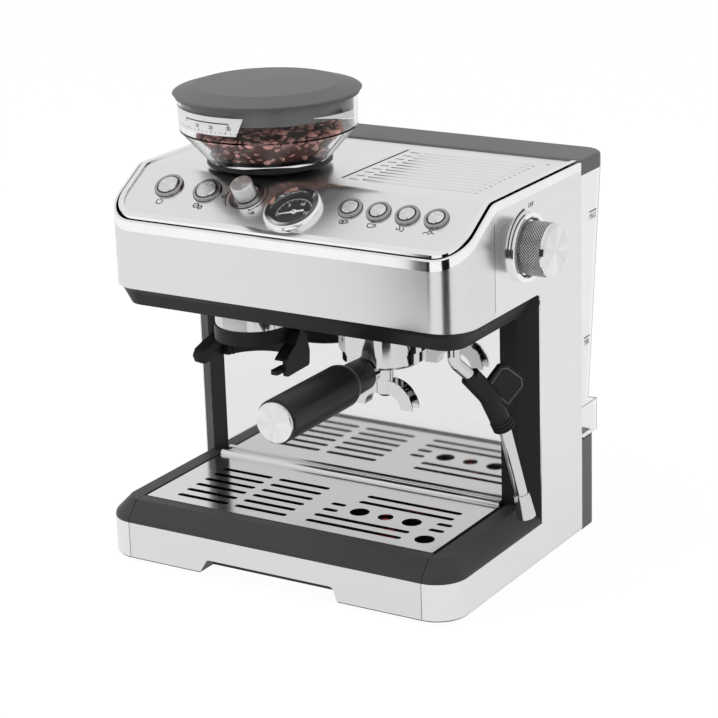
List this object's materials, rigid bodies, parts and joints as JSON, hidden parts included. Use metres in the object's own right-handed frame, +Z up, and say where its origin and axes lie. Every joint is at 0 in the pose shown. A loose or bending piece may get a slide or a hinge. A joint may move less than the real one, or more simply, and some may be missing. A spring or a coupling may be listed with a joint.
{
  "type": "espresso machine",
  "caption": "Countertop espresso machine with a bean grinder and hopper, control panel with gauge, portafilter, steam wand, lift-out drip tray and rear water tank.",
  "frame": {"origin": "on the worktop under the feet, at the centre of the case's footprint, tank dock left out", "axes": "+Z up; -Y is the front with the portafilter and drip tray; +X is the right-hand side with the steam knob, seen from the front"},
  "size_m": [0.3505, 0.347, 0.382],
  "materials": {
    "black_plastic": "satin moulded plastic",
    "rubber": "matte",
    "brushed_steel": "fine horizontal brushing",
    "chrome": "polished",
    "button_metal": "radially brushed faces",
    "handle_black": "smooth satin gloss",
    "dial_black": "matte print ground",
    "needle_white": "matte paint",
    "clear": "clear",
    "beans": "roasted beans, oily sheen",
    "float_red": "smooth",
    "plain_steel": "mill finish",
    "burr_steel": "ground",
    "brass": "machined",
    "grey_plastic": "moulded",
    "board_green": "circuit board lacquer"
  },
  "bodies": {
    "machine": {"base_pan": "black_plastic", "rubber_feet": "rubber", "case_screws": "plain_steel", "left_side_panel": "brushed_steel", "right_side_panel": "brushed_steel", "front_fascia": "brushed_steel", "head_mouldings": "chrome", "top_deck": "brushed_steel", "head_skirt": "black_plastic", "splash_back": "brushed_steel", "splash_frame": "black_plastic", "rear_housing": "black_plastic", "cord_gland": "black_plastic", "chassis_frame": "plain_steel", "control_board": "board_green", "button_bezels": "chrome", "gauge_bezel": "chrome", "gauge_dial": "dial_black", "gauge_glass": "clear", "steam_knob_bezel": "chrome", "steam_valve": "brass", "grinder_housing": "grey_plastic", "grinder_motor": "plain_steel", "grinder_outlet": "chrome", "portafilter_cradle": "black_plastic", "group_head": "chrome", "shower_screen": "plain_steel", "boiler": "plain_steel", "pump": "grey_plastic", "solenoid_valve": "brass", "water_hoses": "rubber", "wand_socket": "brass"},
    "burr": {"cone_burr": "burr_steel"},
    "hopper": {"hopper_base": "black_plastic", "hopper_bowl": "clear", "coffee_beans": "beans"},
    "lid": {"hopper_lid": "black_plastic"},
    "power_button": {"power_button": "button_metal"},
    "grind_button": {"grind_button": "button_metal"},
    "single_shot_button": {"single_shot_button": "button_metal"},
    "double_shot_button": {"double_shot_button": "button_metal"},
    "hot_water_button": {"hot_water_button": "button_metal"},
    "steam_button": {"steam_button": "button_metal"},
    "dose_dial": {"dose_dial": "button_metal"},
    "needle": {"gauge_needle": "needle_white"},
    "steam_knob": {"steam_knob": "button_metal"},
    "portafilter": {"portafilter_body": "chrome", "filter_basket": "plain_steel", "twin_spout": "chrome", "handle_grip": "handle_black", "handle_cap": "button_metal"},
    "wand": {"wand_tube": "chrome", "wand_grip": "rubber"},
    "tray": {"drip_tray": "black_plastic", "tray_front": "brushed_steel"},
    "grid": {"drip_grid": "brushed_steel"},
    "float": {"tray_float": "float_red"},
    "tank": {"water_tank": "clear", "tank_valve": "black_plastic"},
    "tank_lid": {"tank_lid": "black_plastic"}
  },
  "joints": [
    {"name": "burr_spin", "type": "hinge", "parent": "machine", "child": "burr", "pos_m": [-0.061, -0.0095, 0.28], "axis": [0, 0, 1], "continuous": true},
    {"name": "hopper_turn", "type": "hinge", "parent": "machine", "child": "hopper", "pos_m": [-0.061, -0.0095, 0.315], "axis": [0, 0, 1], "range_deg": [-75, 75]},
    {"name": "hopper_lid_lift", "type": "slide", "parent": "hopper", "child": "lid", "axis": [0, 0, 1], "range_m": [0, 0.08]},
    {"name": "power_button_press", "type": "slide", "parent": "machine", "child": "power_button", "axis": [0, 0.515, -0.8572], "range_m": [0, 0.0015], "stiffness_N_per_m": 300},
    {"name": "grind_button_press", "type": "slide", "parent": "machine", "child": "grind_button", "axis": [0, 0.515, -0.8572], "range_m": [0, 0.0015], "stiffness_N_per_m": 300},
    {"name": "single_shot_button_press", "type": "slide", "parent": "machine", "child": "single_shot_button", "axis": [0, 0.515, -0.8572], "range_m": [0, 0.0015], "stiffness_N_per_m": 300},
    {"name": "double_shot_button_press", "type": "slide", "parent": "machine", "child": "double_shot_button", "axis": [0, 0.515, -0.8572], "range_m": [0, 0.0015], "stiffness_N_per_m": 300},
    {"name": "hot_water_button_press", "type": "slide", "parent": "machine", "child": "hot_water_button", "axis": [0, 0.515, -0.8572], "range_m": [0, 0.0015], "stiffness_N_per_m": 300},
    {"name": "steam_button_press", "type": "slide", "parent": "machine", "child": "steam_button", "axis": [0, 0.515, -0.8572], "range_m": [0, 0.0015], "stiffness_N_per_m": 300},
    {"name": "dose_dial_turn", "type": "hinge", "parent": "machine", "child": "dose_dial", "pos_m": [-0.0464, -0.06649, 0.30289], "axis": [0, -0.515, 0.8572], "range_deg": [-135, 135]},
    {"name": "gauge_needle_turn", "type": "hinge", "parent": "machine", "child": "needle", "pos_m": [0.0015, -0.0742, 0.29826], "axis": [0, -0.515, 0.8572], "range_deg": [-200, 0], "stiffness_Nm_per_rad": 0.00002},
    {"name": "steam_knob_turn", "type": "hinge", "parent": "machine", "child": "steam_knob", "pos_m": [0.165, 0.002, 0.269], "axis": [1, 0, 0], "range_deg": [-70, 35]},
    {"name": "portafilter_lock", "type": "hinge", "parent": "machine", "child": "portafilter", "pos_m": [0.061, -0.043, 0.185], "axis": [0, 0, 1], "range_deg": [-45, 0]},
    {"name": "wand_swivel", "type": "hinge", "parent": "machine", "child": "wand", "pos_m": [0.134, -0.063, 0.215], "axis": [0, 0, 1], "range_deg": [-130, 0]},
    {"name": "tray_slide", "type": "slide", "parent": "machine", "child": "tray", "axis": [0, -1, 0], "range_m": [0, 0.15]},
    {"name": "grid_lift", "type": "slide", "parent": "tray", "child": "grid", "axis": [0, 0, 1], "range_m": [0, 0.04]},
    {"name": "float_rise", "type": "slide", "parent": "tray", "child": "float", "axis": [0, 0, 1], "range_m": [0, 0.006]},
    {"name": "tank_lift", "type": "slide", "parent": "machine", "child": "tank", "axis": [0, 0, 1], "range_m": [0, 0.25]},
    {"name": "tank_lid_open", "type": "hinge", "parent": "tank", "child": "tank_lid", "pos_m": [0, 0.142, 0.3], "axis": [-1, 0, 0], "range_deg": [0, 100]}
  ]
}
